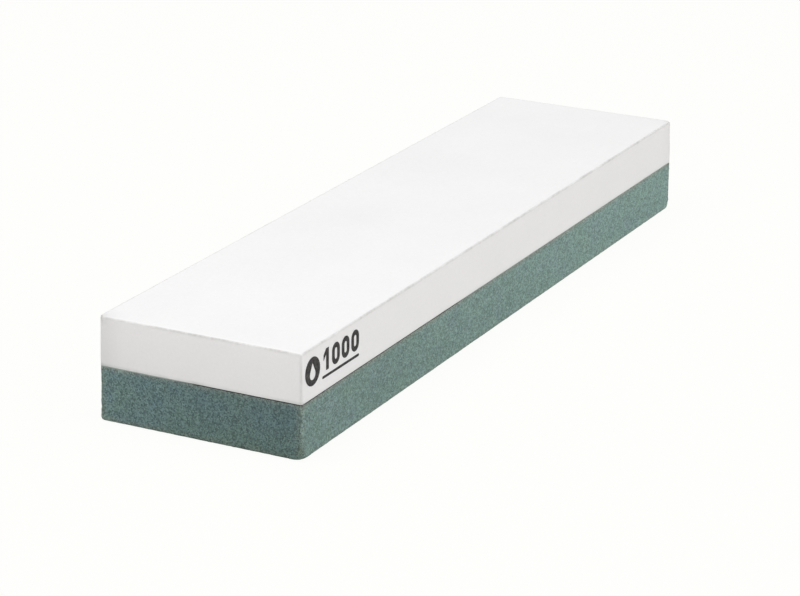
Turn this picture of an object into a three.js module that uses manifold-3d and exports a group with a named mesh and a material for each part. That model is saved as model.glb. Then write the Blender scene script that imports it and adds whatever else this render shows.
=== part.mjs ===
// Combination bench whetstone for carving tools: a coarse green silicon carbide slab and a fine
// white alumina slab, bonded face to face, with a small generic grit mark printed in ink on one
// long side of the fine slab.
//
// Millimetres, +Z up. The origin is the centre of the coarse face, which the stone rests on.
// +X runs along the length, and the printed long side faces -Y.

import * as THREE from 'three';
import { mergeVertices } from 'three/addons/utils/BufferGeometryUtils.js';
import Module from 'manifold-3d';

const wasm = await Module();
wasm.setup();

// ---------------------------------------------------------------- driving dimensions

const LENGTH = 200;
const WIDTH = 50;

const COARSE_HEIGHT = 12.75;
const BOND_HEIGHT = 0.25;
const FINE_HEIGHT = 11.25;

// The coarse slab is softer, so its resting edges are rounded over; the fine slab stays crisp.
const COARSE_EDGE_RADIUS = 1;
const COARSE_CORNER_RADIUS = 0.75;
const FINE_EDGE_RADIUS = 0.4;
const FINE_CORNER_RADIUS = 0.5;

// The adhesive film stops just short of the ground side faces.
const BOND_RECESS = 0.15;
const BOND_CORNER_RADIUS = 0.5;

// The print: a disc with a drop left open in it, the numerals 1000, and a rule under them.
const INK_THICKNESS = 0.05;
const PRINT_LEFT_MARGIN = 1.5;
const PRINT_TOP_MARGIN = 2;
const DISC_RADIUS = 3.2;
const DROP_RADIUS = 1.25;
const DROP_TIP_HEIGHT = 2.6;
const DISC_TO_NUMERALS = 1;
const NUMERAL_WIDTH = 3.4;
const NUMERAL_HEIGHT = 4.9;
const NUMERAL_STROKE = 1.15;
const NUMERAL_GAP = 0.9;
const ONE_FLAG_DROP = 1.25;
const ZERO_COUNT = 3;
const RULE_GAP = 0.95;
const RULE_HEIGHT = 0.6;

const EASE_SEGMENTS = 5;
const CORNER_SEGMENTS = 5;
const INK_CURVE_SEGMENTS = 5;

// ---------------------------------------------------------------- materials

function matte(colour, roughness) {
  return new THREE.MeshStandardMaterial({ color: colour, roughness, metalness: 0 });
}

const coarseGrit = matte(0x75897f, 0.95);
const fineGrit = matte(0xf0efec, 0.8);
const adhesive = matte(0x4f5a55, 0.7);
const ink = matte(0x3b3a39, 0.6);

// ---------------------------------------------------------------- outlines

// A rectangle about the origin whose corners are quarter circles.
function roundedRectangle(width, height, radius, OutlineClass = THREE.Shape) {
  const right = width / 2;
  const top = height / 2;
  const outline = new OutlineClass();
  outline.moveTo(right, radius - top);
  outline.lineTo(right, top - radius);
  outline.absarc(right - radius, top - radius, radius, 0, Math.PI / 2);
  outline.lineTo(radius - right, top);
  outline.absarc(radius - right, top - radius, radius, Math.PI / 2, Math.PI);
  outline.lineTo(-right, radius - top);
  outline.absarc(radius - right, radius - top, radius, Math.PI, 1.5 * Math.PI);
  outline.lineTo(right - radius, -top);
  outline.absarc(right - radius, radius - top, radius, 1.5 * Math.PI, 2 * Math.PI);
  return outline;
}

// A water drop centred on the origin: a round belly whose two tangents meet in a tip above it.
// The tip's height is counted from the belly's centre.
function dropOutline() {
  const bellyCentre = (DROP_RADIUS - DROP_TIP_HEIGHT) / 2;
  const tangentAngle = Math.asin(DROP_RADIUS / DROP_TIP_HEIGHT);
  const tangentX = DROP_RADIUS * Math.cos(tangentAngle);
  const tangentY = bellyCentre + DROP_RADIUS * Math.sin(tangentAngle);
  const outline = new THREE.Path();
  outline.moveTo(0, bellyCentre + DROP_TIP_HEIGHT);
  outline.lineTo(-tangentX, tangentY);
  outline.absarc(0, bellyCentre, DROP_RADIUS, Math.PI - tangentAngle, tangentAngle);
  outline.closePath();
  return outline;
}

function discOutline() {
  const outline = roundedRectangle(2 * DISC_RADIUS, 2 * DISC_RADIUS, DISC_RADIUS);
  outline.holes.push(dropOutline());
  return outline;
}

function zeroOutline() {
  const outline = roundedRectangle(NUMERAL_WIDTH, NUMERAL_HEIGHT, NUMERAL_WIDTH / 2);
  const holeWidth = NUMERAL_WIDTH - 2 * NUMERAL_STROKE;
  const holeHeight = NUMERAL_HEIGHT - 2 * NUMERAL_STROKE;
  outline.holes.push(roundedRectangle(holeWidth, holeHeight, holeWidth / 2, THREE.Path));
  return outline;
}

// An upright stem right of the middle, with a slanting flag at its top left.
function oneOutline() {
  const stemRight = NUMERAL_WIDTH / 3;
  const stemLeft = stemRight - NUMERAL_STROKE;
  const flagLeft = -NUMERAL_WIDTH / 3;
  const top = NUMERAL_HEIGHT / 2;
  const outline = new THREE.Shape();
  outline.moveTo(stemRight, -top);
  outline.lineTo(stemRight, top);
  outline.lineTo(stemLeft, top);
  outline.lineTo(flagLeft, top - ONE_FLAG_DROP);
  outline.lineTo(flagLeft, top - 2 * ONE_FLAG_DROP);
  outline.lineTo(stemLeft, top - ONE_FLAG_DROP);
  outline.lineTo(stemLeft, -top);
  outline.closePath();
  return outline;
}

// ---------------------------------------------------------------- solids

// A closed geometry as a solid that can be cut.
function toSolid(geometry) {
  const positionsOnly = geometry.clone();
  positionsOnly.deleteAttribute('normal');
  positionsOnly.deleteAttribute('uv');
  const merged = mergeVertices(positionsOnly);
  const mesh = new wasm.Mesh({
    numProp: 3,
    vertProperties: new Float32Array(merged.attributes.position.array),
    triVerts: new Uint32Array(merged.index.array),
  });
  return new wasm.Manifold(mesh);
}

function toGeometry(solid) {
  const mesh = solid.getMesh();
  const geometry = new THREE.BufferGeometry();
  geometry.setAttribute('position', new THREE.BufferAttribute(mesh.vertProperties, 3));
  geometry.setIndex(new THREE.BufferAttribute(mesh.triVerts, 1));
  geometry.computeVertexNormals();
  return geometry;
}

function plate(outline, thickness, curveSegments) {
  return new THREE.ExtrudeGeometry(outline, {
    depth: thickness,
    curveSegments,
    bevelEnabled: false,
  });
}

// A slab standing on z = 0 with rounded upright corners. One of its two broad faces, the bottom or
// the top, has rounded edges; the other stays square, to meet the bond. A block with both broad
// faces eased is moved until one of them lies outside the slab, and a rounded plate cuts it off.
function easedSlab(height, cornerRadius, edgeRadius, easedFace) {
  const corners = [
    new THREE.Vector2(LENGTH / 2, WIDTH / 2),
    new THREE.Vector2(-LENGTH / 2, WIDTH / 2),
    new THREE.Vector2(-LENGTH / 2, -WIDTH / 2),
    new THREE.Vector2(LENGTH / 2, -WIDTH / 2),
  ];
  const easedBlock = new THREE.ExtrudeGeometry(new THREE.Shape(corners), {
    depth: height,
    bevelThickness: edgeRadius,
    bevelSize: edgeRadius,
    bevelOffset: -edgeRadius,
    bevelSegments: EASE_SEGMENTS,
  });
  easedBlock.translate(0, 0, easedFace === 'bottom' ? edgeRadius : -edgeRadius);
  const outline = roundedRectangle(LENGTH, WIDTH, cornerRadius);
  const roundedPlate = plate(outline, height, CORNER_SEGMENTS);
  return toGeometry(toSolid(easedBlock).intersect(toSolid(roundedPlate)));
}

// ---------------------------------------------------------------- sub-parts

const whetstone = new THREE.Group();

function addMesh(parent, name, geometry, material) {
  const mesh = new THREE.Mesh(geometry, material);
  mesh.name = name;
  parent.add(mesh);
  return mesh;
}

function addCoarseStone() {
  const slab = easedSlab(COARSE_HEIGHT, COARSE_CORNER_RADIUS, COARSE_EDGE_RADIUS, 'bottom');
  addMesh(whetstone, 'coarse_stone', slab, coarseGrit);
}

function addBondLayer() {
  const length = LENGTH - 2 * BOND_RECESS;
  const width = WIDTH - 2 * BOND_RECESS;
  const outline = roundedRectangle(length, width, BOND_CORNER_RADIUS);
  const film = plate(outline, BOND_HEIGHT, CORNER_SEGMENTS);
  const mesh = addMesh(whetstone, 'bond_layer', film, adhesive);
  mesh.position.z = COARSE_HEIGHT;
}

function addFineStone() {
  const slab = easedSlab(FINE_HEIGHT, FINE_CORNER_RADIUS, FINE_EDGE_RADIUS, 'top');
  const mesh = addMesh(whetstone, 'fine_stone', slab, fineGrit);
  mesh.position.z = COARSE_HEIGHT + BOND_HEIGHT;
}

// The print is drawn upright in a group of its own: its x runs along the stone, its y runs up the
// side, and its z points out of the side. The group's origin is the top left corner of that side.
function addPrint() {
  const print = new THREE.Group();
  print.position.set(-LENGTH / 2, -WIDTH / 2, COARSE_HEIGHT + BOND_HEIGHT + FINE_HEIGHT);
  print.rotation.x = Math.PI / 2;
  whetstone.add(print);

  function addInk(name, outline, x, y) {
    const mesh = addMesh(print, name, plate(outline, INK_THICKNESS, INK_CURVE_SEGMENTS), ink);
    mesh.position.set(x, y, 0);
  }

  const numeralPitch = NUMERAL_WIDTH + NUMERAL_GAP;
  const firstNumeral = PRINT_LEFT_MARGIN + 2 * DISC_RADIUS + DISC_TO_NUMERALS + NUMERAL_WIDTH / 2;
  const numeralMiddle = -PRINT_TOP_MARGIN - NUMERAL_HEIGHT / 2;
  addInk('print_one', oneOutline(), firstNumeral, numeralMiddle);
  for (let zero = 1; zero <= ZERO_COUNT; zero += 1) {
    addInk(`print_zero_${zero}`, zeroOutline(), firstNumeral + zero * numeralPitch, numeralMiddle);
  }

  const ruleWidth = ZERO_COUNT * numeralPitch + NUMERAL_WIDTH;
  const ruleMiddle = -PRINT_TOP_MARGIN - NUMERAL_HEIGHT - RULE_GAP - RULE_HEIGHT / 2;
  const ruleOutline = roundedRectangle(ruleWidth, RULE_HEIGHT, RULE_HEIGHT / 2);
  addInk('print_rule', ruleOutline, firstNumeral + (ZERO_COUNT * numeralPitch) / 2, ruleMiddle);

  const printHeight = NUMERAL_HEIGHT + RULE_GAP + RULE_HEIGHT;
  const discMiddle = -PRINT_TOP_MARGIN - printHeight / 2;
  addInk('print_disc', discOutline(), PRINT_LEFT_MARGIN + DISC_RADIUS, discMiddle);
}

addCoarseStone();
addBondLayer();
addFineStone();
addPrint();

export default whetstone;
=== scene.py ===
"""Combination bench whetstone: the visual model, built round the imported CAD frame.

The coarse green slab, the bond and the fine white slab are meshed again here, with eased and
chipped edges and the grain of fired grit. The printed grit mark keeps its CAD shapes and gets worn
ink. The stone's places and sizes come from the frame, in metres.
"""

import math

import bpy
import numpy as np
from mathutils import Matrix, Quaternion, Vector, noise


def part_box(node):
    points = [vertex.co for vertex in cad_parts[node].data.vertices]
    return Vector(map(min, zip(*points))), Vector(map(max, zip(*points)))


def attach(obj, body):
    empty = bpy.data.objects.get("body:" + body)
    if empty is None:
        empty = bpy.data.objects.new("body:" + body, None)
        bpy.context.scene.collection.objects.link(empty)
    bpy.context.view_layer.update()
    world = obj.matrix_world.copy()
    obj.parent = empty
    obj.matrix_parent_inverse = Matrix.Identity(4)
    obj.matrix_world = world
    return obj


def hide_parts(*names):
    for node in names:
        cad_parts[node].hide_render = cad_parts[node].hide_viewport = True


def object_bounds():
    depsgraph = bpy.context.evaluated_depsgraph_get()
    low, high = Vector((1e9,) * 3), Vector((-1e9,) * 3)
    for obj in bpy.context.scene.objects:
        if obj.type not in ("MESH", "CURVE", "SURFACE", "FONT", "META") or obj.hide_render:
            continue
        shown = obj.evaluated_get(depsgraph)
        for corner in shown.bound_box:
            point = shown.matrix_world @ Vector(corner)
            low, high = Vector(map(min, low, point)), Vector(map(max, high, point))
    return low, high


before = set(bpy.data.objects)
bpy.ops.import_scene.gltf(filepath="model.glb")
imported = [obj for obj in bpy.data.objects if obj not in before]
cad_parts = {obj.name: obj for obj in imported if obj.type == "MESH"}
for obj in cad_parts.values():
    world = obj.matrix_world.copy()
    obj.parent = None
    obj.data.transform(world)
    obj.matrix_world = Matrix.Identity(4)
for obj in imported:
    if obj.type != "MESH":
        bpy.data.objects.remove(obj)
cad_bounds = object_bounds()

MM = 0.001

COARSE_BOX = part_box("coarse_stone")
BOND_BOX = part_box("bond_layer")
FINE_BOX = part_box("fine_stone")
INK_NODES = [name for name in sorted(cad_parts) if name.startswith("print_")]

# ---------------------------------------------------------------- shape of the stones

# Each slab's grid is closer together within a border along its edges. Its surface has a low relief,
# which on the coarse slab grows into a tremble along the arrises.
COARSE_GRID_STEP = 0.55 * MM
COARSE_EDGE_STEP = 0.2 * MM
COARSE_EDGE_BORDER = 2.2 * MM
COARSE_EDGE_RADIUS = 1.0 * MM
COARSE_RELIEF = 0.03 * MM
COARSE_EDGE_TREMBLE = 0.045 * MM
COARSE_EDGE_TREMBLE_WIDTH = 1.2 * MM
COARSE_GRAIN_SIZE = 0.9 * MM
COARSE_CHIP_COUNT = 320
COARSE_CHIP_RADII = (0.18 * MM, 0.42 * MM)

FINE_GRID_STEP = 1.25 * MM
FINE_EDGE_STEP = 0.15 * MM
FINE_EDGE_BORDER = 1.2 * MM
FINE_EDGE_RADIUS = 0.35 * MM
FINE_RELIEF = 0.006 * MM
FINE_GRAIN_SIZE = 3 * MM
FINE_CHIP_COUNT = 110
FINE_CHIP_RADII = (0.1 * MM, 0.26 * MM)

# Each upright corner's radius at the joint, its radius at the broad face, and the height over
# which the one turns into the other.
COARSE_CORNERS = {
    ("printed end", "printed side"): (0.6 * MM, 2.8 * MM, 5 * MM),
    ("printed end", "plain side"): (0.9 * MM, 0.35 * MM, 12 * MM),
    ("plain end", "printed side"): (0.2 * MM, 1.1 * MM, 2.8 * MM),
    ("plain end", "plain side"): (0.6 * MM, 1.2 * MM, 2.8 * MM),
}
FINE_CORNERS = {
    ("printed end", "printed side"): (0.45 * MM, 0.5 * MM, 1 * MM),
    ("printed end", "plain side"): (0.9 * MM, 1.4 * MM, 11 * MM),
    ("plain end", "printed side"): (0.35 * MM, 1.1 * MM, 9 * MM),
    ("plain end", "plain side"): (0.6 * MM, 0.8 * MM, 2 * MM),
}

# The radii of edges and corners vary by this share, in long waves and short ripples.
EDGE_UNEVENNESS = 0.1
EDGE_WAVE_SIZE = 9 * MM
EDGE_RIPPLE_SIZE = 2.5 * MM
EDGE_RIPPLE_SHARE = 0.4

# The squeezed-out rim of the bond film, and how far it wanders in and out.
BOND_GRID_STEP = 0.5 * MM
BOND_HEIGHT_STEPS = 3
BOND_SQUEEZE = 0.13 * MM
BOND_WANDER = 0.04 * MM
BOND_WAVE_SIZE = 6 * MM
BOND_RIPPLE_SIZE = 1.2 * MM
BOND_CORNER_RADIUS = 0.95 * MM

# The share of the chips on each kind of line. A chip is a ball that bites into the slab: its middle
# stands off from the line by a share of its own radius, less the share that it sinks in and less
# what a rounded arris has lost, as a share of the arris's radius.
CHIP_LINE_SHARES = {"long": 0.45, "end": 0.2, "corner": 0.15, "joint": 0.2}
CHIP_STAND_OFF = 0.75
CHIP_SINKING = (0.1, 0.35)
ROUNDED_ARRIS_LOSS = 0.3
CHIP_SEED = 7

# A grid's points settle onto the form in rounds, along a slope measured over a small step.
GRADIENT_STEP = 0.01 * MM
SETTLE_ROUNDS = 4
SHORTEST_SLOPE = 1e-12

# Points that are closer than this lie in the same place.
SAME_PLACE = 1e-9

# Two corners of the white honing face are knocked off by this much.
FINE_KNOCKED_CORNERS = {
    ("plain end", "printed side"): 0.8 * MM,
    ("printed end", "plain side"): 0.9 * MM,
}
KNOCK_RADIUS = 3 * MM

# ---------------------------------------------------------------- wear, colour drift, painted light and shade

# Painted light: the green is painted paler along the stone and across its printed end, and along
# the foot of its sides, to offset the shade near the floor.
GREEN_PAINTED_LIGHT_ALONG = 0.13
GREEN_PAINTED_LIGHT_ACROSS = 0.17
GREEN_FOOT_PAINTED_LIGHT = 0.16
GREEN_FOOT_HEIGHT = 4 * MM

# The printed end's green is rubbed paler towards this upright corner.
GREEN_RUBBED_CORNER = ("printed end", "printed side")
GREEN_RUBBED_PALENESS = 0.17
GREEN_RUBBED_REACH = 5 * MM

# The white printed end darkens towards the plain side, and down to the joint in painted shade.
WHITE_DRIFT_ACROSS = -0.015
WHITE_PAINTED_SHADE_UP = 0.03

# Three corners of the white slab are greyed by handling, from top to bottom.
FINE_GREYED_CORNERS = {
    ("printed end", "printed side"): 0.02,
    ("printed end", "plain side"): 0.1,
    ("plain end", "printed side"): 0.035,
}
GREYED_REACH = 7 * MM

# A faint rubbed patch on the white honing face.
RUBBED_PLACE = (-10 * MM, 8 * MM)
RUBBED_REACH = 14 * MM
RUBBED_DARKENING = 0.025

# The glue shows as a bare dark line near the printed corner, further along the side than the end.
# It fades out round these distances, from the first to the second share of them.
BOND_BARE_ALONG = 75 * MM
BOND_BARE_ACROSS = 27 * MM
BOND_BARE_FADE = (0.75, 1.25)

# How far dust and soil reach from the arrises, the joint and the knocked corners. Over the
# joint on the white slab the dust also carries painted shade.
COARSE_EDGE_DUST_WIDTH = 2.8 * MM
COARSE_RIM_DUST_WIDTH = 1.2 * MM
FINE_SOILED_WIDTH = 0.7 * MM
FINE_CORNER_SPOT_WIDTH = 1.7 * MM
FINE_RIM_DUST_AND_SHADE_WIDTH = 0.9 * MM

# The white slab's upright edges are soiled less than its honing face's, and its sides get less
# dust and painted shade over the joint than its printed end, by these shares.
FINE_UPRIGHT_CLEANNESS = 0.4
FINE_SIDE_LESS_DUST_AND_SHADE = 0.65

# The printed end's own tones set in between these shares of the half length. An end's painted
# shade sets in between these cosines, as the surface turns to face along the stone.
PRINTED_END_FADE = (0.985, 0.995)
SHADED_END_FADE = (0.3, 0.85)

# ---------------------------------------------------------------- camera

# The camera looks down on the printed corner. Lens and sensor are in millimetres.
CAMERA_LENS = 133.3
CAMERA_SENSOR = 36.0
CAMERA_DISTANCE = 709.3 * MM
CAMERA_AZIMUTH = math.radians(-62.76)
CAMERA_ELEVATION = math.radians(19.45)
CAMERA_ROLL = math.radians(0.43)
CAMERA_AIM = Vector((-7.05, 0.0, 3.7)) * MM


# ---------------------------------------------------------------- grids

def graded_axis(low, high, step, edge_step, border):
    """Coordinates from low to high, closer together within border of each end."""
    edge = np.linspace(0, border, round(border / edge_step) + 1)
    steps = max(1, round((high - low - 2 * border) / step))
    middle = np.linspace(low + border, high - border, steps + 1)
    return np.concatenate([low + edge[:-1], middle, high - edge[::-1][1:]])


def grid_quads(sheet):
    """The quads of a grid of point indices."""
    corners = [sheet[:-1, :-1], sheet[1:, :-1], sheet[1:, 1:], sheet[:-1, 1:]]
    return np.stack(corners, axis=-1).reshape(-1, 4).tolist()


def slab_grid(xs, ys, zs, joint_on_top):
    """A closed box shell of grids. Its face at the joint is hidden, so it is a single polygon."""
    index = np.arange(len(xs) * len(ys) * len(zs)).reshape(len(xs), len(ys), len(zs))
    sides = [index[:, 0, :], index[::-1, -1, :], index[0, ::-1, :], index[-1, :, :]]
    rim_level = -1 if joint_on_top else 0
    level = index[:, :, rim_level]
    rim = np.concatenate([level[:-1, 0], level[-1, :-1], level[:0:-1, -1], level[0, :0:-1]])
    if joint_on_top:
        sides.append(index[:, ::-1, 0])
    else:
        sides.append(index[:, :, -1])
        rim = rim[::-1]
    faces = [quad for sheet in sides for quad in grid_quads(sheet)]
    faces.append(rim.tolist())
    used = np.unique(np.concatenate([sheet.ravel() for sheet in sides]))
    place = np.full(index.size, -1)
    place[used] = np.arange(len(used))
    i, j, k = np.unravel_index(used, index.shape)
    points = np.stack([xs[i], ys[j], zs[k]], axis=1)
    return points, [[int(place[corner]) for corner in face] for face in faces]


# ---------------------------------------------------------------- forms

def rounded_max(first, second, radius):
    """Signed distance to the edge between two faces, rounded over with the given radius."""
    outside = np.hypot(np.maximum(first + radius, 0), np.maximum(second + radius, 0))
    return np.minimum(np.maximum(first, second), -radius) + outside


def smooth_step(value, low, high):
    """0 up to the low value, 1 from the high value on, and smooth in between."""
    share = np.clip((value - low) / (high - low), 0, 1)
    return share * share * (3 - 2 * share)


def noise_over(points, size, offset=0.0):
    """Smooth noise, about -1 to 1, that changes over the given size. The offset varies it."""
    shift = Vector((offset, offset, offset))
    return np.array([noise.noise(Vector(point) / size + shift) for point in points])


class Slab:
    """One abrasive slab: a block with an eased broad face, softened corners and chipped edges."""

    def __init__(self, box, edge_radius, corners, joint_on_top):
        self.low = np.array(box[0])
        self.high = np.array(box[1])
        self.middle = (self.low + self.high) / 2
        self.joint_on_top = joint_on_top
        self.eased_level = self.low[2] if joint_on_top else self.high[2]
        self.joint_level = self.high[2] if joint_on_top else self.low[2]
        self.edge_radius = edge_radius
        self.corners = corners
        self.chips = []

    def grid(self, step, edge_step, border):
        """The grid's points and faces before they are moved onto the eased form."""
        axes = [graded_axis(self.low[a], self.high[a], step, edge_step, border) for a in range(3)]
        return slab_grid(*axes, self.joint_on_top)

    def from_faces(self, points):
        """How far each point lies outside the planes of the X, Y and eased Z faces."""
        away = np.abs(points - self.middle) - (self.high - self.low) / 2
        away[:, 2] = (points[:, 2] - self.eased_level) * (-1 if self.joint_on_top else 1)
        return away

    def add_chips(self, count, radii, seed):
        """Shallow chips: most on the eased arrises, the rest down the corners and at the joint."""
        lines = list(CHIP_LINE_SHARES)
        line_shares = list(CHIP_LINE_SHARES.values())
        draw = np.random.default_rng(seed)
        for _ in range(count):
            radius = draw.uniform(*radii)
            place = draw.uniform(self.low, self.high)
            outward = np.sign(place - self.middle)
            nearest = np.where(outward > 0, self.high, self.low)
            line = draw.choice(lines, p=line_shares)
            if line == "corner":
                place[:2] = nearest[:2]
                outward[2] = 0
            else:
                across = 0 if line == "end" else 1
                place[across] = nearest[across]
                outward[1 - across] = 0
                place[2] = self.joint_level if line == "joint" else self.eased_level
                outward[2] = np.sign(place[2] - self.middle[2])
            lost = 0 if line == "joint" else ROUNDED_ARRIS_LOSS * self.edge_radius
            sinking = draw.uniform(*CHIP_SINKING)
            centre = place + outward * (radius * (CHIP_STAND_OFF - sinking) - lost)
            self.chips.append((centre, radius))

    def outward_at(self, end, side):
        """The signs of the outward directions at a corner of the broad face."""
        return np.array([
            -1 if end == "printed end" else 1,
            -1 if side == "printed side" else 1,
            -1 if self.joint_on_top else 1,
        ])

    def corner_at(self, end, side):
        """A corner of the broad face."""
        return self.middle + self.outward_at(end, side) * (self.high - self.low) / 2

    def knock_corners(self, bites):
        """Takes the given depth off corners of the broad face, measured inwards from the corner."""
        for corner, bite in bites.items():
            away = self.outward_at(*corner) * (KNOCK_RADIUS - bite) / math.sqrt(3)
            self.chips.append((self.corner_at(*corner) + away, KNOCK_RADIUS))

    def find_chipped(self, points):
        """For each chip, the points that it can reach once they have settled."""
        margin = 2 * self.edge_radius
        self.chipped = []
        for centre, radius in self.chips:
            close = np.abs(points - centre).max(axis=1) < radius + margin
            self.chipped.append(np.flatnonzero(close))

    def depth(self, points):
        """How far each point lies outside the eased and chipped form."""
        away = self.from_faces(points)
        plan = rounded_max(away[:, 0], away[:, 1], self.corner_radii)
        surface = rounded_max(plan, away[:, 2], self.edge_radii)
        for (centre, radius), chipped in zip(self.chips, self.chipped):
            bite = radius - np.linalg.norm(points[chipped] - centre, axis=1)
            surface[chipped] = np.maximum(surface[chipped], bite)
        return surface

    def slope(self, points):
        """The outward direction of the form at each point."""
        columns = []
        for axis in range(3):
            step = np.zeros(3)
            step[axis] = GRADIENT_STEP
            columns.append(self.depth(points + step) - self.depth(points - step))
        slope = np.stack(columns, axis=1)
        length = np.maximum(np.linalg.norm(slope, axis=1), SHORTEST_SLOPE)
        return slope / length[:, None]

    def shares(self, points):
        """Places as shares of the slab's half size, -1 to 1 along each axis."""
        return (points - self.middle) / ((self.high - self.low) / 2)

    def radii_at(self, points):
        """The upright corner radius at each point."""
        ends = np.where(points[:, 0] < self.middle[0], "printed end", "plain end")
        sides = np.where(points[:, 1] < self.middle[1], "printed side", "plain side")
        corners = np.array([self.corners[corner] for corner in zip(ends, sides)])
        at_joint, at_face, run_out = corners.T
        inwards = -self.from_faces(points)[:, 2]
        return at_face + (at_joint - at_face) * smooth_step(inwards, 0, run_out)

    def settle(self, points):
        """Moves the grid's points in onto the form. Points on the joint keep their height."""
        waves = noise_over(points, EDGE_WAVE_SIZE)
        ripples = noise_over(points, EDGE_RIPPLE_SIZE, offset=5.0)
        uneven = (1 - EDGE_RIPPLE_SHARE) * waves + EDGE_RIPPLE_SHARE * ripples
        self.edge_radii = self.edge_radius * (1 + EDGE_UNEVENNESS * uneven)
        self.corner_radii = self.radii_at(points) * (1 + EDGE_UNEVENNESS * uneven)
        self.find_chipped(points)
        on_joint = np.abs(points[:, 2] - self.joint_level) < SAME_PLACE
        settled = points.copy()
        for _ in range(SETTLE_ROUNDS):
            settled -= self.depth(settled)[:, None] * self.slope(settled)
            settled[on_joint, 2] = self.joint_level
        settled = np.clip(settled, self.low, self.high)
        return settled, self.slope(settled), on_joint

    def roughen(self, settled, outward, on_joint, grain, amount):
        """Presses the surface in by up to twice the given amount, least where the grain is high."""
        settled += outward * (amount * (np.clip(grain, -1, 1) - 1))[:, None]
        settled[on_joint, 2] = self.joint_level

    def edge_closeness(self, points, width):
        """1 on the arrises, falling to 0 at the given distance from them."""
        away = np.sort(-self.from_faces(points), axis=1)
        return 1 - smooth_step(away[:, 1], 0, width)

    def corner_closeness(self, points, corners, width):
        """1 at the given corners of the broad face, falling to 0 at the given distance."""
        away = [np.abs(points - self.corner_at(*corner)).max(axis=1) for corner in corners]
        return 1 - smooth_step(np.min(away, axis=0), 0, width)

    def beside_corner(self, points, corner, reach):
        """1 on the upright line through a corner, falling to 0 at the given distance from it."""
        away = np.linalg.norm((points - self.corner_at(*corner))[:, :2], axis=1)
        return 1 - smooth_step(away, 0, reach)

    def rim_closeness(self, points, width):
        """1 at the joint, falling to 0 at the given distance from it."""
        return 1 - smooth_step(np.abs(points[:, 2] - self.joint_level), 0, width)


def add_mesh(name, points, faces):
    mesh = bpy.data.meshes.new(name)
    mesh.from_pydata(points.tolist(), [], faces)
    mesh.shade_smooth()
    mesh.validate()
    piece = bpy.data.objects.new(name, mesh)
    bpy.context.scene.collection.objects.link(piece)
    return piece


def set_point_values(piece, name, values):
    attribute = piece.data.attributes.new(name, "FLOAT", "POINT")
    attribute.data.foreach_set("value", values.astype(np.float32))


# ---------------------------------------------------------------- material helpers

def add_node(tree, kind, inputs=None, **settings):
    made = tree.nodes.new(kind)
    for name, value in settings.items():
        setattr(made, name, value)
    for name, value in (inputs or {}).items():
        if isinstance(value, bpy.types.NodeSocket):
            tree.links.new(value, made.inputs[name])
        else:
            made.inputs[name].default_value = value
    return made


def place_on_object(tree):
    """The place on the piece, in metres."""
    return add_node(tree, "ShaderNodeTexCoord").outputs["Object"]


def noise_value(tree, size, detail=2.0, roughness=0.5):
    inputs = {
        "Vector": place_on_object(tree),
        "Scale": 1 / size,
        "Detail": detail,
        "Roughness": roughness,
    }
    return add_node(tree, "ShaderNodeTexNoise", inputs).outputs["Fac"]


def cell_value(tree, size, shift=0.0):
    """A random value for each grain of about the given size, and the distance from its middle."""
    moved = add_node(
        tree,
        "ShaderNodeVectorMath",
        {0: place_on_object(tree), 1: (shift, shift, shift)},
        operation="ADD",
    )
    cells = add_node(tree, "ShaderNodeTexVoronoi", {"Vector": moved.outputs[0], "Scale": 1 / size})
    colour = add_node(tree, "ShaderNodeSeparateColor", {0: cells.outputs["Color"]})
    return colour.outputs["Red"], cells.outputs["Distance"]


def remap(tree, value, low, high, new_low, new_high):
    inputs = {
        "Value": value,
        "From Min": low,
        "From Max": high,
        "To Min": new_low,
        "To Max": new_high,
    }
    return add_node(tree, "ShaderNodeMapRange", inputs, clamp=True).outputs[0]


def spread(tree, noise_share, low, high):
    """Noise spread over the given range; nearly all of it lies between 0.3 and 0.7."""
    return remap(tree, noise_share, 0.3, 0.7, low, high)


def between(tree, share, first, second):
    """The number that lies a share of the way from the first to the second."""
    return remap(tree, share, 0, 1, first, second)


def arithmetic(tree, operation, first, second):
    return add_node(tree, "ShaderNodeMath", {0: first, 1: second}, operation=operation).outputs[0]


def mix_colours(tree, factor, first, second, blend="MIX"):
    made = add_node(tree, "ShaderNodeMix", data_type="RGBA", blend_type=blend)
    sockets = {"Factor_Float": factor, "A_Color": first, "B_Color": second}
    for socket in made.inputs:
        if socket.identifier not in sockets:
            continue
        value = sockets[socket.identifier]
        if isinstance(value, bpy.types.NodeSocket):
            tree.links.new(value, socket)
        else:
            socket.default_value = value
    return next(s for s in made.outputs if s.identifier == "Result_Color")


def brightness(tree, colour, value):
    """The colour multiplied by a grey value."""
    grey = add_node(tree, "ShaderNodeCombineColor", {"Red": value, "Green": value, "Blue": value})
    return mix_colours(tree, 1.0, colour, grey.outputs[0], blend="MULTIPLY")


def point_value(tree, name):
    return add_node(tree, "ShaderNodeAttribute", attribute_name=name).outputs["Fac"]


def new_material(name):
    material = bpy.data.materials.new(name)
    material.use_nodes = True
    return material, material.node_tree, material.node_tree.nodes["Principled BSDF"]


def set_bump(tree, shader, height, strength, distance):
    bump = add_node(
        tree, "ShaderNodeBump", {"Height": height, "Strength": strength, "Distance": distance}
    )
    tree.links.new(bump.outputs["Normal"], shader.inputs["Normal"])


def rgb(red, green, blue):
    """A colour given in screen values, 0 to 255, as linear light."""
    values = np.array([red, green, blue]) / 255
    linear = np.where(values <= 0.04045, values / 12.92, ((values + 0.055) / 1.055) ** 2.4)
    return (*linear.tolist(), 1.0)


# ---------------------------------------------------------------- materials

# The green grit's greenish and bluish tints on the sides, and a darker, bluer copy on the ends:
# painted shade.
GREEN_SIDE_TINTS = (rgb(124, 150, 141), rgb(125, 147, 145))
GREEN_SHADED_END_TINTS = (rgb(99, 121, 115), rgb(95, 117, 120))

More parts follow.
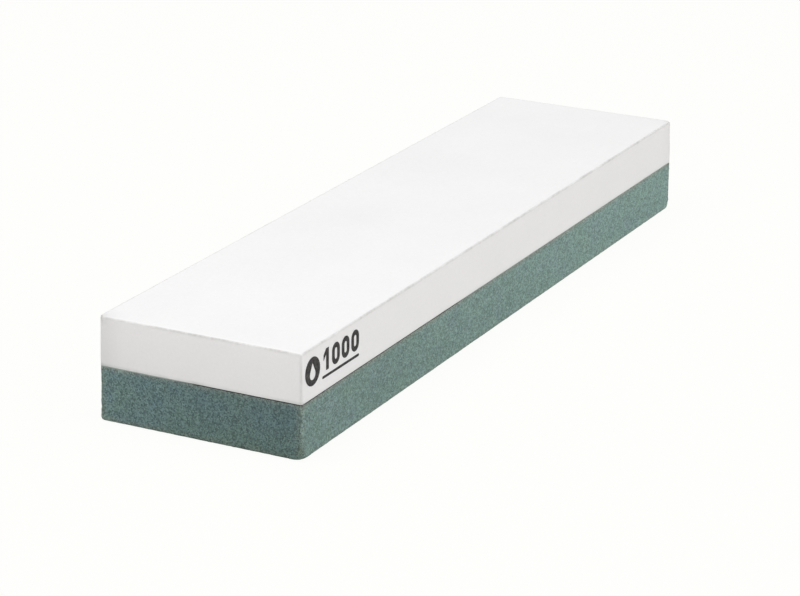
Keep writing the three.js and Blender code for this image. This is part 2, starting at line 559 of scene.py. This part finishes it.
# Each pair holds for the sides and for the ends; the ends' darker colours carry painted shade.
GREEN_EDGE_DUST = (rgb(133, 147, 139), rgb(116, 127, 115))
GREEN_RIM_DUST = (rgb(138, 140, 132), rgb(122, 130, 124))
GREEN_GRAIN_CONTRAST = (0.38, 0.44)

WHITE_GRIT = (0.865, 0.862, 0.863, 1.0)
WHITE_SOIL = (0.5, 0.49, 0.47, 1.0)
# Greenish dust with painted shade, over the joint on the white slab.
WHITE_RIM_DUST_AND_SHADE = rgb(158, 168, 160)
DUSTY_GLUE = rgb(160, 170, 165)
BARE_GLUE = rgb(38, 38, 35)
THICK_INK = rgb(44, 43, 43)
THIN_INK = rgb(72, 71, 70)
BROKEN_INK = rgb(150, 149, 146)


def coarse_grit():
    """Fine green silicon carbide grains, light and dark, greenish to bluish; painted shade on the
    ends.
    """
    material, tree, shader = new_material("coarse_grit")
    grain, grain_distance = cell_value(tree, 0.3 * MM)
    cluster, cluster_distance = cell_value(tree, 0.7 * MM, shift=0.3)
    blotches = noise_value(tree, 2.4 * MM, detail=3.0, roughness=0.6)
    hue = noise_value(tree, 6 * MM, detail=3.0, roughness=0.6)
    mottle = noise_value(tree, 22 * MM)
    shaded_end = point_value(tree, "shaded_end")

    bluish = spread(tree, hue, 0, 1)
    side_colour = mix_colours(tree, bluish, *GREEN_SIDE_TINTS)
    # The ends get a darker, bluer copy of the green, as painted shade.
    shaded_end_colour = mix_colours(tree, bluish, *GREEN_SHADED_END_TINTS)
    colour = mix_colours(tree, shaded_end, side_colour, shaded_end_colour)
    edge_dust = arithmetic(tree, "MULTIPLY", point_value(tree, "edge"), blotches)
    edge_cover = remap(tree, edge_dust, 0.1, 0.6, 0, 0.55)
    edge_colour = mix_colours(tree, shaded_end, *GREEN_EDGE_DUST)
    colour = mix_colours(tree, edge_cover, colour, edge_colour)
    rim_dust = arithmetic(tree, "MULTIPLY", point_value(tree, "rim"), blotches)
    rim_cover = remap(tree, rim_dust, 0, 0.6, 0, 0.7)
    rim_colour = mix_colours(tree, shaded_end, *GREEN_RIM_DUST)
    colour = mix_colours(tree, rim_cover, colour, rim_colour)

    contrast = between(tree, shaded_end, *GREEN_GRAIN_CONTRAST)
    grain_tone = arithmetic(tree, "MULTIPLY", between(tree, grain, -1, 1), contrast)
    tone = arithmetic(tree, "ADD", grain_tone, 1.0)
    tone = arithmetic(tree, "MULTIPLY", tone, between(tree, cluster, 0.92, 1.08))
    tone = arithmetic(tree, "MULTIPLY", tone, spread(tree, blotches, 0.97, 1.03))
    tone = arithmetic(tree, "MULTIPLY", tone, spread(tree, mottle, 0.98, 1.02))
    tone = arithmetic(tree, "MULTIPLY", tone, point_value(tree, "tone"))
    tree.links.new(brightness(tree, colour, tone), shader.inputs["Base Color"])

    tree.links.new(between(tree, grain, 0.82, 1.0), shader.inputs["Roughness"])
    shader.inputs["Specular IOR Level"].default_value = 0.25
    grain_height = arithmetic(tree, "MULTIPLY", grain_distance, 0.6)
    height = arithmetic(tree, "ADD", grain_height, cluster_distance)
    set_bump(tree, shader, height, strength=0.4, distance=0.06 * MM)
    return material


def fine_grit():
    """White alumina, almost smooth: grey soiled arrises, greenish dust and painted shade at the
    joint.
    """
    material, tree, shader = new_material("fine_grit")
    clouds = noise_value(tree, 28 * MM, detail=3.0, roughness=0.55)
    speckle = noise_value(tree, 0.7 * MM)
    patches = noise_value(tree, 8 * MM, detail=4.0, roughness=0.65)
    spots = noise_value(tree, 0.9 * MM)

    tone = spread(tree, clouds, 0.985, 1.01)
    tone = arithmetic(tree, "MULTIPLY", tone, remap(tree, speckle, 0.25, 0.75, 0.985, 1.015))
    tone = arithmetic(tree, "MULTIPLY", tone, point_value(tree, "tone"))
    colour = brightness(tree, WHITE_GRIT, tone)
    patchy = remap(tree, patches, 0.35, 0.65, 0.3, 1)
    spotty = arithmetic(tree, "MULTIPLY", patchy, remap(tree, spots, 0.4, 0.65, 0.85, 1.2))
    soiled = arithmetic(tree, "MULTIPLY", point_value(tree, "edge"), spotty)
    soiled = arithmetic(tree, "MAXIMUM", soiled, point_value(tree, "corner"))
    colour = mix_colours(tree, between(tree, soiled, 0, 0.75), colour, WHITE_SOIL)
    # Over the joint: greenish dust and painted shade.
    dust_and_shade = arithmetic(tree, "MULTIPLY", point_value(tree, "rim"), patchy)
    colour = mix_colours(tree, between(tree, dust_and_shade, 0, 0.45), colour, WHITE_RIM_DUST_AND_SHADE)
    tree.links.new(colour, shader.inputs["Base Color"])

    tree.links.new(spread(tree, speckle, 0.62, 0.78), shader.inputs["Roughness"])
    shader.inputs["Specular IOR Level"].default_value = 0.3
    set_bump(tree, shader, speckle, strength=0.15, distance=0.03 * MM)
    return material


def adhesive():
    """Dark cured glue, in most places hidden under pale grinding dust."""
    material, tree, shader = new_material("adhesive")
    patches = noise_value(tree, 4 * MM, detail=3.0, roughness=0.6)
    ripples = noise_value(tree, 0.6 * MM)
    bare = arithmetic(tree, "ADD", point_value(tree, "bare"), spread(tree, patches, -0.3, 0.3))
    bare = remap(tree, bare, 0.2, 0.8, 0, 1)
    colour = mix_colours(tree, bare, DUSTY_GLUE, BARE_GLUE)
    tree.links.new(colour, shader.inputs["Base Color"])
    tree.links.new(between(tree, bare, 0.9, 0.6), shader.inputs["Roughness"])
    shader.inputs["Specular IOR Level"].default_value = 0.2
    set_bump(tree, shader, ripples, strength=0.3, distance=0.05 * MM)
    return material


def printed_ink():
    """Black ink that the grain under it breaks up a little."""
    material, tree, shader = new_material("printed_ink")
    grain = noise_value(tree, 0.3 * MM, detail=3.0, roughness=0.7)
    thin = noise_value(tree, 0.9 * MM, detail=3.0, roughness=0.6)
    colour = mix_colours(tree, remap(tree, thin, 0.35, 0.65, 0, 1), THICK_INK, THIN_INK)
    broken = remap(tree, grain, 0.58, 0.72, 0, 0.5)
    colour = mix_colours(tree, broken, colour, BROKEN_INK)
    tree.links.new(colour, shader.inputs["Base Color"])
    tree.links.new(spread(tree, grain, 0.6, 0.8), shader.inputs["Roughness"])
    shader.inputs["Specular IOR Level"].default_value = 0.15
    set_bump(tree, shader, grain, strength=0.2, distance=0.02 * MM)
    return material


# ---------------------------------------------------------------- pieces

def finish_piece(piece, material, node):
    piece.data.materials.append(material)
    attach(piece, "root")
    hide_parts(node)


def on_printed_end(shares):
    """1 on the printed end, 0 on the rest of the slab."""
    return smooth_step(-shares[:, 0], *PRINTED_END_FADE)


def painted_light_gradient(shares, along, across, up):
    """Tone that changes slowly along the sides and over the printed end: mostly painted light."""
    on_end = on_printed_end(shares)
    on_sides = (1 - on_end) * along * shares[:, 0]
    over_end = on_end * (across * shares[:, 1] + up * shares[:, 2])
    return 1 + on_sides + over_end


def green_tone(slab, settled):
    """The green's painted light along, across and at its foot, and its printed end's rubbed corner.
    """
    shares = slab.shares(settled)
    on_end = on_printed_end(shares)
    height = settled[:, 2] - slab.eased_level
    # Painted light: the foot of the sides is painted paler, to offset the shade near the floor.
    foot = GREEN_FOOT_PAINTED_LIGHT * (1 - smooth_step(height, 0, GREEN_FOOT_HEIGHT))
    rubbed = slab.beside_corner(settled, GREEN_RUBBED_CORNER, GREEN_RUBBED_REACH)
    rubbed *= GREEN_RUBBED_PALENESS
    # Painted light: paler along the sides and across the printed end.
    tone = painted_light_gradient(shares, along=GREEN_PAINTED_LIGHT_ALONG, across=GREEN_PAINTED_LIGHT_ACROSS, up=0)
    return tone * (1 + foot * (1 - on_end) + rubbed * on_end)


def add_coarse_slab():
    slab = Slab(COARSE_BOX, COARSE_EDGE_RADIUS, COARSE_CORNERS, joint_on_top=True)
    slab.add_chips(COARSE_CHIP_COUNT, COARSE_CHIP_RADII, CHIP_SEED)
    points, faces = slab.grid(COARSE_GRID_STEP, COARSE_EDGE_STEP, COARSE_EDGE_BORDER)
    settled, outward, on_joint = slab.settle(points)
    trembling = slab.edge_closeness(points, COARSE_EDGE_TREMBLE_WIDTH)
    amount = COARSE_RELIEF + (COARSE_EDGE_TREMBLE - COARSE_RELIEF) * trembling
    fine_grain = noise_over(settled, COARSE_GRAIN_SIZE / 2, offset=9.0)
    grain = noise_over(settled, COARSE_GRAIN_SIZE) + 0.5 * fine_grain
    slab.roughen(settled, outward, on_joint, grain, amount)
    piece = add_mesh("coarse_slab", settled, faces)
    set_point_values(piece, "edge", slab.edge_closeness(points, COARSE_EDGE_DUST_WIDTH))
    # The ends' painted shade sets in as the surface turns to face along the stone.
    set_point_values(piece, "shaded_end", smooth_step(np.abs(outward[:, 0]), *SHADED_END_FADE))
    set_point_values(piece, "rim", slab.rim_closeness(settled, COARSE_RIM_DUST_WIDTH))
    set_point_values(piece, "tone", green_tone(slab, settled))
    finish_piece(piece, coarse_grit(), "coarse_stone")


def white_soil(slab, points):
    """How soiled the white slab is along the edges of its honing face, and down its corners."""
    below = -slab.from_faces(points)[:, 2]
    below_face = smooth_step(below, 0.5 * FINE_SOILED_WIDTH, 2 * FINE_SOILED_WIDTH)
    soiled = slab.edge_closeness(points, FINE_SOILED_WIDTH)
    return soiled * (1 - FINE_UPRIGHT_CLEANNESS * below_face)


def white_rim_dust_and_shade(slab, settled):
    """The white slab's greenish dust and painted shade over the joint: its printed end most."""
    off_end = 1 - on_printed_end(slab.shares(settled))
    # Dust and painted shade, strongest at the joint.
    dusty_and_shaded = slab.rim_closeness(settled, FINE_RIM_DUST_AND_SHADE_WIDTH)
    return dusty_and_shaded * (1 - FINE_SIDE_LESS_DUST_AND_SHADE * off_end)


def white_tone(slab, settled, outward):
    """The white's drift and painted shade, the rubbed patch on its honing face, its greyed corners.
    """
    from_patch = np.hypot(*(settled[:, :2] - RUBBED_PLACE).T)
    rubbed = RUBBED_DARKENING * (1 - smooth_step(from_patch, 0, RUBBED_REACH)) * outward[:, 2]
    shares = slab.shares(settled)
    # Painted shade: the printed end is darker down towards the joint.
    tone = painted_light_gradient(shares, along=0, across=WHITE_DRIFT_ACROSS, up=WHITE_PAINTED_SHADE_UP) * (1 - rubbed)
    for corner, lost in FINE_GREYED_CORNERS.items():
        tone *= 1 - lost * slab.beside_corner(settled, corner, GREYED_REACH)
    return tone


def add_fine_slab():
    slab = Slab(FINE_BOX, FINE_EDGE_RADIUS, FINE_CORNERS, joint_on_top=False)
    slab.add_chips(FINE_CHIP_COUNT, FINE_CHIP_RADII, CHIP_SEED + 1)
    slab.knock_corners(FINE_KNOCKED_CORNERS)
    points, faces = slab.grid(FINE_GRID_STEP, FINE_EDGE_STEP, FINE_EDGE_BORDER)
    settled, outward, on_joint = slab.settle(points)
    slab.roughen(settled, outward, on_joint, noise_over(settled, FINE_GRAIN_SIZE), FINE_RELIEF)
    piece = add_mesh("fine_slab", settled, faces)
    set_point_values(piece, "edge", white_soil(slab, points))
    spots = slab.corner_closeness(points, FINE_KNOCKED_CORNERS, FINE_CORNER_SPOT_WIDTH)
    set_point_values(piece, "corner", spots)
    set_point_values(piece, "rim", white_rim_dust_and_shade(slab, settled))
    set_point_values(piece, "tone", white_tone(slab, settled, outward))
    finish_piece(piece, fine_grit(), "fine_stone")


def round_corners(points, middle, half, radius):
    """Pulls the points of a sheet in onto quarter circles at its four corners."""
    from_middle = (points - middle)[:, :2]
    past = np.maximum(np.abs(from_middle) - (half[:2] - radius), 0)
    distance = np.linalg.norm(past, axis=1)
    inwards = np.maximum(distance - radius, 0) / np.maximum(distance, radius)
    points[:, :2] -= np.sign(from_middle) * past * inwards[:, None]


def add_bond_film():
    """The film's rim: squeezed out almost flush, but short of the side where the glue is bare."""
    low, high = (np.array(corner) for corner in BOND_BOX)
    axes = [graded_axis(low[a], high[a], BOND_GRID_STEP, BOND_GRID_STEP, 0) for a in range(2)]
    heights = np.linspace(low[2], high[2], BOND_HEIGHT_STEPS + 1)
    points, faces = slab_grid(*axes, heights, joint_on_top=True)
    middle = (low + high) / 2
    from_corner = (points - low)[:, :2] / (BOND_BARE_ALONG, BOND_BARE_ACROSS)
    bare = 1 - smooth_step(from_corner.sum(axis=1), *BOND_BARE_FADE)
    on_rim = np.abs(points - middle)[:, :2] > ((high - low) / 2)[:2] - SAME_PLACE
    outward = on_rim * np.sign(points - middle)[:, :2]
    ripples = noise_over(points, BOND_RIPPLE_SIZE, offset=8.0)
    wander = noise_over(points, BOND_WAVE_SIZE, offset=3.0) + 0.5 * ripples
    full = BOND_SQUEEZE * (1 - bare)
    drawn_in = BOND_WANDER * (np.clip(wander, -1, 1) - 1)
    squeezed = full + drawn_in + BOND_WANDER * bare
    points[:, :2] += outward * squeezed[:, None]
    round_corners(points, middle, (high - low) / 2 + BOND_SQUEEZE, BOND_CORNER_RADIUS)
    piece = add_mesh("bond_film", points, faces)
    set_point_values(piece, "bare", bare)
    finish_piece(piece, adhesive(), "bond_layer")


def ink_the_print():
    ink = printed_ink()
    for name in INK_NODES:
        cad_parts[name].data.materials[0] = ink


# ---------------------------------------------------------------- stage

# The camera sees the floor mostly as plain stage white, so that the stone's shadow stays faint.
FLOOR_SIZE = 6.0
FLOOR_COLOUR = (0.81, 0.795, 0.775, 1.0)
STAGE_WHITE = rgb(255, 255, 253)
STAGE_SELF_LIT = 0.95
WORLD_STRENGTH = 0.5


def lit_for_camera(tree, lit_shader, share):
    """A shader that the camera sees mostly as plain stage white, and light sees as it is."""
    camera_ray = add_node(tree, "ShaderNodeLightPath").outputs["Is Camera Ray"]
    plain = add_node(tree, "ShaderNodeEmission", {"Color": STAGE_WHITE, "Strength": 1.0})
    factor = arithmetic(tree, "MULTIPLY", camera_ray, share)
    mixed = add_node(tree, "ShaderNodeMixShader", {0: factor, 1: lit_shader, 2: plain.outputs[0]})
    return mixed.outputs[0]


def add_floor():
    mesh = bpy.data.meshes.new("floor")
    half = FLOOR_SIZE / 2
    corners = [(-half, -half, 0), (half, -half, 0), (half, half, 0), (-half, half, 0)]
    mesh.from_pydata(corners, [], [(0, 1, 2, 3)])
    floor = bpy.data.objects.new("floor", mesh)
    floor.location.z = cad_bounds[0][2]
    bpy.context.scene.collection.objects.link(floor)
    material = bpy.data.materials.new("floor_white")
    material.use_nodes = True
    tree = material.node_tree
    tree.nodes.clear()
    diffuse = add_node(tree, "ShaderNodeBsdfDiffuse", {"Color": FLOOR_COLOUR})
    surface = lit_for_camera(tree, diffuse.outputs[0], STAGE_SELF_LIT)
    add_node(tree, "ShaderNodeOutputMaterial", {"Surface": surface})
    mesh.materials.append(material)


def set_world():
    world = bpy.data.worlds.new("studio")
    world.use_nodes = True
    bpy.context.scene.world = world
    tree = world.node_tree
    tree.nodes.clear()
    glow = add_node(
        tree, "ShaderNodeBackground", {"Color": (1, 1, 1, 1), "Strength": WORLD_STRENGTH}
    )
    camera_ray = add_node(tree, "ShaderNodeLightPath").outputs["Is Camera Ray"]
    plain = add_node(tree, "ShaderNodeBackground", {"Color": STAGE_WHITE, "Strength": 1.0})
    mixed = add_node(
        tree, "ShaderNodeMixShader", {0: camera_ray, 1: glow.outputs[0], 2: plain.outputs[0]}
    )
    add_node(tree, "ShaderNodeOutputWorld", {"Surface": mixed.outputs[0]})


def add_softbox(name, place, size, power):
    """A square soft light that faces the stone."""
    data = bpy.data.lights.new(name, "AREA")
    data.shape = "SQUARE"
    data.size = size
    data.energy = power
    lamp = bpy.data.objects.new(name, data)
    lamp.location = place
    lamp.rotation_euler = Vector(place).to_track_quat("Z", "Y").to_euler()
    bpy.context.scene.collection.objects.link(lamp)


def add_lights():
    add_softbox("top_softbox", place=(-0.35, 0.1, 1.1), size=1.0, power=8.6)
    add_softbox("side_softbox", place=(0.4, -1.6, 0.7), size=1.0, power=7.2)


def add_camera():
    data = bpy.data.cameras.new("camera")
    data.lens = CAMERA_LENS
    data.sensor_width = CAMERA_SENSOR
    camera = bpy.data.objects.new("camera", data)
    back = Vector((
        math.sin(CAMERA_AZIMUTH) * math.cos(CAMERA_ELEVATION),
        -math.cos(CAMERA_AZIMUTH) * math.cos(CAMERA_ELEVATION),
        math.sin(CAMERA_ELEVATION),
    ))
    camera.location = CAMERA_AIM + back * CAMERA_DISTANCE
    camera.rotation_mode = "QUATERNION"
    camera.rotation_quaternion = back.to_track_quat("Z", "Y") @ Quaternion((0, 0, 1), CAMERA_ROLL)
    bpy.context.scene.collection.objects.link(camera)
    bpy.context.scene.camera = camera


add_coarse_slab()
add_bond_film()
add_fine_slab()
ink_the_print()
add_floor()
set_world()
add_lights()
add_camera()
bpy.context.scene.view_settings.view_transform = "Standard"
